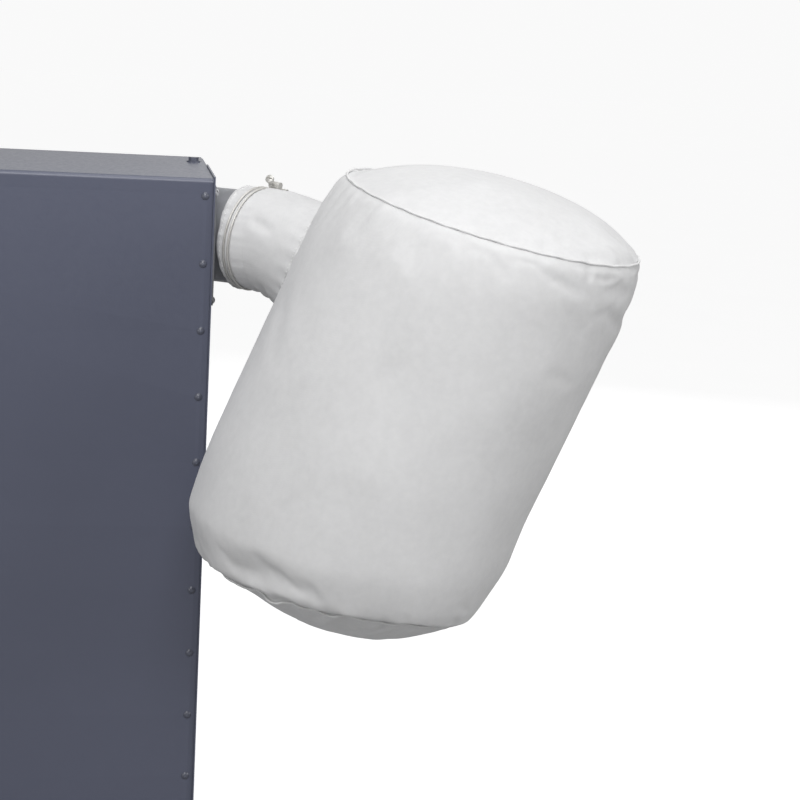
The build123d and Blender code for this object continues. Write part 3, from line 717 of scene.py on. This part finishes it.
# inner return of the hem, then the outside out to the junction, where the cloth flares into the bag
inner = [0.024, 0.018, 0.012, 0.006, 0.002]
for s in inner:
    row = []
    for j in range(NPH):
        ph = 2 * math.pi * j / NPH
        p, d, e1, e2 = neck_frame(s)
        row.append(len(nverts))
        nverts.append(p + (e1 * math.cos(ph) + e2 * math.sin(ph)) * 0.0506)
    nrows.append(row)
for ri, off in ((0.0515, -0.0002), (0.0529, -0.0004)):
    row = []
    for j in range(NPH):
        ph = 2 * math.pi * j / NPH
        p, d, e1, e2 = neck_frame(0.0)
        edge = 0.0006 * math.sin(5 * ph + 0.4) + 0.0004 * math.sin(11 * ph + 1.0)
        row.append(len(nverts))
        nverts.append(p + N * (off + edge) + (e1 * math.cos(ph) + e2 * math.sin(ph)) * ri)
    nrows.append(row)
for a in range(NS + 1):
    row = []
    for j in range(NPH):
        ph = 2 * math.pi * j / NPH
        f = a / NS
        f = f * 0.7 + 0.3 * f ** 0.5 * f if False else f
        sj = float(jn[j]) + 0.002
        edge = 0.0006 * math.sin(5 * ph + 0.4) + 0.0004 * math.sin(11 * ph + 1.0)
        s = 0.0008 + edge * (1 - f) ** 6 + (sj - 0.0008) * f
        rest = sj - s
        flare = 0.0052 * math.exp(-rest / 0.007)
        soft = 0.0008 * fnoise((s * 1.0, math.cos(ph) * 0.055, math.sin(ph) * 0.055), 0.028, 5.0) * smoothstep(0.03, 0.06, s)
        pk = 0.0012 * math.sin(26 * ph + 2.0 * math.sin(3 * ph)) * math.exp(-rest / 0.010) * smoothstep(0.0, 0.004, rest)
        row.append(len(nverts))
        nverts.append(neck_pt(max(s, 0.0), ph, flare + soft + pk))
    nrows.append(row)
for a in range(len(nrows) - 1):
    for j in range(NPH):
        u = (j + 1) % NPH
        nfaces.append((nrows[a][j], nrows[a][u], nrows[a + 1][u], nrows[a + 1][j]))
neck = new_mesh("bag_neck", nverts, nfaces)
bm = bmesh.new()
bm.from_mesh(neck.data)
bmesh.ops.recalc_face_normals(bm, faces=bm.faces)
bm.to_mesh(neck.data)
bm.free()

# kink low on the neck, where the cloth doubles as the bag droops
nc = np.array([tuple(v.co) for v in neck.data.vertices])
nn_ = np.array([tuple(v.normal) for v in neck.data.vertices])
mid = np.array(RING + N * 0.05)
if np.mean(np.sum((nc - mid) * nn_, axis=1)[-NPH * 30:]) < 0:
    neck.data.flip_normals()
    nn_ = -nn_


def neck_at(s, phd, extra=0.0):
    return neck_pt(s, math.radians(phd), extra)


outer_cloth = np.ones(len(nc))
outer_cloth[:(len(inner) + 2) * NPH] = 0.0            # the hem's inner return keeps its shape on the spigot
for a, b, w, dep in ((neck_at(0.040, -120), neck_at(0.052, -60), 0.0055, 0.0045), (neck_at(0.058, -140), neck_at(0.066, -95), 0.006, 0.0028), (neck_at(0.034, 60), neck_at(0.056, 40), 0.0045, 0.0022), (neck_at(0.034, 85), neck_at(0.060, 110), 0.005, 0.0018), (neck_at(0.032, 150), neck_at(0.062, 158), 0.006, 0.0014)):
    nc = nc + nn_ * (crease(nc, a, b, w, dep) * outer_cloth)[:, None]
neck.data.vertices.foreach_set("co", nc.reshape(-1))
neck.data.update()

# mouth: the bag skin is open where the neck joins it
bm = bmesh.new()
bm.from_mesh(bag.data)
doomed = []
pj, dj, _, _ = neck_frame(float(jn.mean()))
for f in bm.faces:
    c = f.calc_center_median()
    w = c - pj
    along = w.dot(dj)
    rad = (w - dj * along).length
    if abs(along) < 0.07 and rad < 0.0525 and f.normal.dot(dj) < 0.2:
        doomed.append(f)
bmesh.ops.delete(bm, geom=doomed, context="FACES")
bm.to_mesh(bag.data)
bm.free()

# ------------------------------------------------------------------ seams


def tube_mesh(name, pts, ra, rb, normals, closed=True, sides=10, wob=None):
    """Elliptical tube along a closed line: ra along the given normal, rb across it."""
    vs, fs = [], []
    n = len(pts)
    for i in range(n):
        p, q = pts[(i - 1) % n], pts[(i + 1) % n]
        t = (q - p).normalized()
        a = (normals[i] - t * normals[i].dot(t)).normalized()
        b = t.cross(a)
        k = 1.0 if wob is None else wob(i)
        for s in range(sides):
            an = 2 * math.pi * s / sides
            vs.append(pts[i] + a * (ra * k * math.cos(an)) + b * (rb * k * math.sin(an)))
    for i in range(n if closed else n - 1):
        for s in range(sides):
            i2, s2 = (i + 1) % n, (s + 1) % sides
            fs.append((i * sides + s, i * sides + s2, i2 * sides + s2, i2 * sides + s))
    return new_mesh(name, vs, fs)


def resample(pts, nrm_, n):
    P = np.array([tuple(p) for p in pts] + [tuple(pts[0])])
    Q = np.array([tuple(p) for p in nrm_] + [tuple(nrm_[0])])
    d = np.concatenate([[0], np.cumsum(np.linalg.norm(np.diff(P, axis=0), axis=1))])
    u = np.linspace(0, d[-1], n, endpoint=False)
    return ([Vector([float(np.interp(x, d, P[:, c])) for c in range(3)]) for x in u], [Vector([float(np.interp(x, d, Q[:, c])) for c in range(3)]).normalized() for x in u], d[-1])


def seam_ring(name, row, c, nn, sign, slotname="bag_fabric"):
    pts, nr = [], []
    for i in row:
        p = Vector(co[i])
        out = (p - c)
        out = (out - nn * out.dot(nn)).normalized()
        nr.append((out + nn * (0.55 * sign)).normalized())
        pts.append(p)
    pts, nr, L = resample(pts, nr, 520)
    q = []
    for i, (p, a) in enumerate(zip(pts, nr)):
        th = 2 * math.pi * i / len(pts)
        w = 0.00035 * math.sin(47 * th + 1) + 0.0003 * math.sin(83 * th + 2)
        q.append(p + a * (0.0006 + 0.5 * w) + nn * (sign * 0.0003 * math.sin(31 * th)))
    return tube_mesh(name, q, 0.0011, 0.0011, nr, wob=lambda i: 1 + 0.07 * math.sin(i * 0.9) + 0.05 * math.sin(i * 0.37))


welt_t = seam_ring("bag_seam_top", rows[0], BT, NT, 1)
welt_b = seam_ring("bag_seam_bottom", rows[-1], BB, NB, -1)

# neck junction seam
jp, jnr = [], []
for j in range(NPH):
    ph = 2 * math.pi * j / NPH
    s = float(jn[j])
    rest = 0.002
    p = neck_pt(s, ph, 0.0045)
    loc, nr, fi, ds = bvh.find_nearest(p)
    pn, d, e1, e2 = neck_frame(s)
    out = (e1 * math.cos(ph) + e2 * math.sin(ph))
    jp.append(loc + Vector(nr) * 0.0004)
    jnr.append((Vector(nr) + out * 0.4 - d * 0.2).normalized())
jp2, jn2, JL = resample(jp, jnr, 240)
welt_j = tube_mesh("bag_seam_neck", jp2, 0.0013, 0.0012, jn2, wob=lambda i: 1 + 0.1 * math.sin(i * 1.3))

# stitching: short raised threads in rows
stv, stf = [], []


def stitch(p, t, nr, length=0.0030, r=0.00036):
    a = (nr - t * nr.dot(t)).normalized()
    b = t.cross(a)
    base = len(stv)
    prof_ = ((-0.5, 0.15, -0.3), (-0.38, 0.85, 0.35), (0.0, 1.0, 0.8), (0.38, 0.85, 0.35), (0.5, 0.15, -0.3))
    for (x, rr, lift) in prof_:
        for s in range(6):
            an = 2 * math.pi * s / 6
            stv.append(p + t * (x * length) + a * (r * rr * math.cos(an) + lift * r) + b * (r * rr * math.sin(an)))
    for i in range(len(prof_) - 1):
        for s in range(6):
            s2 = (s + 1) % 6
            stf.append((base + i * 6 + s, base + i * 6 + s2, base + (i + 1) * 6 + s2, base + (i + 1) * 6 + s))
    stf.append(tuple(base + s for s in range(6))[::-1])
    e = base + (len(prof_) - 1) * 6
    stf.append(tuple(e + s for s in range(6)))


bvh2 = BVHTree.FromPolygons([Vector(c) for c in co], faces)


def stitch_row(line, pitch=0.0044, tree=None):
    pts, nr, L = resample(line, [Vector((0, 0, 1))] * len(line), max(8, int(sum((line[i] - line[(i + 1) % len(line)]).length for i in range(len(line))) / pitch)))
    n = len(pts)
    for i in range(n):
        t = (pts[(i + 1) % n] - pts[i]).normalized()
        loc, nrr, fi, ds = (tree or bvh2).find_nearest(pts[i])
        if loc is None:
            continue
        m = (pts[i] + pts[(i + 1) % n]) * 0.5
        loc, nrr, fi, ds = (tree or bvh2).find_nearest(m)
        stitch(loc + nrr * 0.0001, t, nrr)


def row_line(a):
    return [Vector(co[i]) for i in rows[a]]


def lerp_line(a, f):
    return [Vector(co[rows[a][t]]) * (1 - f) + Vector(co[rows[a + 1][t]]) * f for t in range(NTH)]


# the long seam down the back of the bag
back_t = min(range(NTH), key=lambda t: abs(angs[t] - math.radians(78)))
for side_ in (-1, 1):
    tt = (back_t + side_) % NTH
    line = [Vector(co[rows[a][back_t]]) * 0.45 + Vector(co[rows[a][tt]]) * 0.55 for a in range(1, NK)]
    P = np.array([tuple(p) for p in line])
    dd = np.concatenate([[0], np.cumsum(np.linalg.norm(np.diff(P, axis=0), axis=1))])
    for x in np.arange(0.002, dd[-1] - 0.002, 0.0044):
        p = Vector([float(np.interp(x, dd, P[:, c])) for c in range(3)])
        q = Vector([float(np.interp(x + 0.001, dd, P[:, c])) for c in range(3)])
        loc, nrr, fi, ds = bvh2.find_nearest(p)
        stitch(loc + nrr * 0.0001, (q - p).normalized(), nrr)
seam_line = [Vector(co[rows[a][back_t]]) for a in range(0, NK + 1)]
long_n = []
for p in seam_line:
    loc, nrr, fi, ds = bvh2.find_nearest(p)
    long_n.append(nrr)
long_seam = tube_mesh("bag_seam_long", [p + n_ * 0.0002 for p, n_ in zip(seam_line, long_n)], 0.0009, 0.0016, long_n, closed=False)

# hem stitching on the neck
nbvh = BVHTree.FromPolygons([Vector(c) for c in nc], nfaces)
for s0 in (0.0042,):
    line = [neck_pt(s0 + 0.0006 * math.sin(5 * 2 * math.pi * j / NPH + 0.4), 2 * math.pi * j / NPH, 0.0) for j in range(NPH)]
    stitch_row(line, tree=nbvh, pitch=0.0044)
line = []
for j in range(NPH):
    ph = 2 * math.pi * j / NPH
    s = float(jn[j]) - 0.004
    line.append(neck_pt(s, ph, 0.003))
stitch_row(line, tree=nbvh)
stitches = new_mesh("bag_stitches", stv, stf)

# ------------------------------------------------------------------ finish the bag pieces
for o, m in ((bag, M_FAB), (neck, M_FAB), (welt_t, M_FAB2), (welt_b, M_FAB2), (welt_j, M_FAB2), (long_seam, M_FAB2), (stitches, M_THREAD)):
    o.data.materials.append(m)
    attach(o, "filter_bag")
for o in (bag, neck):
    sd = o.modifiers.new("Subdivision", "SUBSURF")
    sd.levels = 1
    sd.render_levels = 1
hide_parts("bag_side_wall", "bag_top_disc", "bag_bottom_disc")
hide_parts("bag_neck_sleeve", "bag_neck_hem")
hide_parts("bag_top_seam")
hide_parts("bag_bottom_seam")

# ------------------------------------------------------------------ stage, light, camera
bpy.ops.mesh.primitive_plane_add(size=60.0, location=(0, 0, 0))
floor = bpy.context.object
floor.name = "floor"
mf, ntf, bf = mat_new("floor_plain")
vf = coords(ntf, 1.0)
nf = noise_tex(ntf, vf, 4.0, 2.0)
cf = ramp(ntf, nf.outputs["Fac"], [(0.3, (0.36, 0.36, 0.36, 1)), (0.7, (0.38, 0.38, 0.38, 1))])
ntf.links.new(cf.outputs["Color"], bf.inputs["Base Color"])
bf.inputs["Roughness"].default_value = 0.9
# the studio floor is evenly backlit, and its glow is kept off the object
bf.inputs["Emission Color"].default_value = (1.0, 1.0, 1.0, 1)
bf.inputs["Emission Strength"].default_value = 0.84
floor.data.materials.append(mf)
glow = bpy.data.collections.new("floor_glow")
glow.objects.link(floor)
floor.light_linking.receiver_collection = glow

world = bpy.data.worlds.new("studio")
bpy.context.scene.world = world
world.use_nodes = True
wnt = world.node_tree
bg = wnt.nodes["Background"]
bg.inputs[0].default_value = (1.0, 1.0, 1.0, 1)
bg.inputs[1].default_value = 0.26
bg2 = wnt.nodes.new("ShaderNodeBackground")
bg2.inputs[0].default_value = (1.0, 1.0, 1.0, 1)
bg2.inputs[1].default_value = 0.95
lp = wnt.nodes.new("ShaderNodeLightPath")
mxw = wnt.nodes.new("ShaderNodeMixShader")
wnt.links.new(lp.outputs["Is Camera Ray"], mxw.inputs[0])
wnt.links.new(bg.outputs[0], mxw.inputs[1])
wnt.links.new(bg2.outputs[0], mxw.inputs[2])
wnt.links.new(mxw.outputs[0], wnt.nodes["World Output"].inputs["Surface"])


def area(name, loc, target, size, energy):
    ld = bpy.data.lights.new(name, "AREA")
    ld.shape = "SQUARE"
    ld.size = size
    ld.energy = energy
    ob = bpy.data.objects.new(name, ld)
    ob.location = loc
    d = Vector(target) - Vector(loc)
    ob.rotation_euler = d.to_track_quat("-Z", "Y").to_euler()
    ob.visible_camera = False
    bpy.context.scene.collection.objects.link(ob)
    return ob


area("key", (0.05, -1.20, 1.55), (0.25, -0.25, 0.66), 0.9, 10.6)
area("top", (0.38, -0.15, 1.90), (0.30, -0.12, 0.6), 0.9, 5.2)
area("fill", (-1.3, -1.7, 0.7), (0.28, -0.2, 0.6), 0.9, 6.5)
area("side", (1.9, -1.3, 1.2), (0.5, -0.25, 0.5), 1.0, 12.5)
area("back", (-0.2, 2.2, 1.0), (0.0, 0.0, 0.74), 1.2, 1.7)
area("rear", (1.1, 2.3, 1.5), (0.25, -0.05, 0.5), 1.3, 13.0)

cam_d = bpy.data.cameras.new("camera")
cam = bpy.data.objects.new("camera", cam_d)
bpy.context.scene.collection.objects.link(cam)
bpy.context.scene.camera = cam
cam_d.sensor_width = 36.0
cam_d.lens = 1889.0 / 800.0 * 36.0
cam_d.clip_end = 50
yaw, pitch, roll = math.radians(8.845), math.radians(10.863), math.radians(3.18)
fw = Vector((math.sin(yaw) * math.cos(pitch), math.cos(yaw) * math.cos(pitch), -math.sin(pitch)))
rt = Vector((math.cos(yaw), -math.sin(yaw), 0))
up = rt.cross(fw)
rt2 = rt * math.cos(roll) + up * math.sin(roll)
up2 = -rt * math.sin(roll) + up * math.cos(roll)
M = Matrix((rt2, up2, -fw)).transposed().to_4x4()
M.translation = Vector((0.0822, -2.1079, 0.89288))
cam.matrix_world = M

bpy.context.scene.view_settings.view_transform = "Standard"
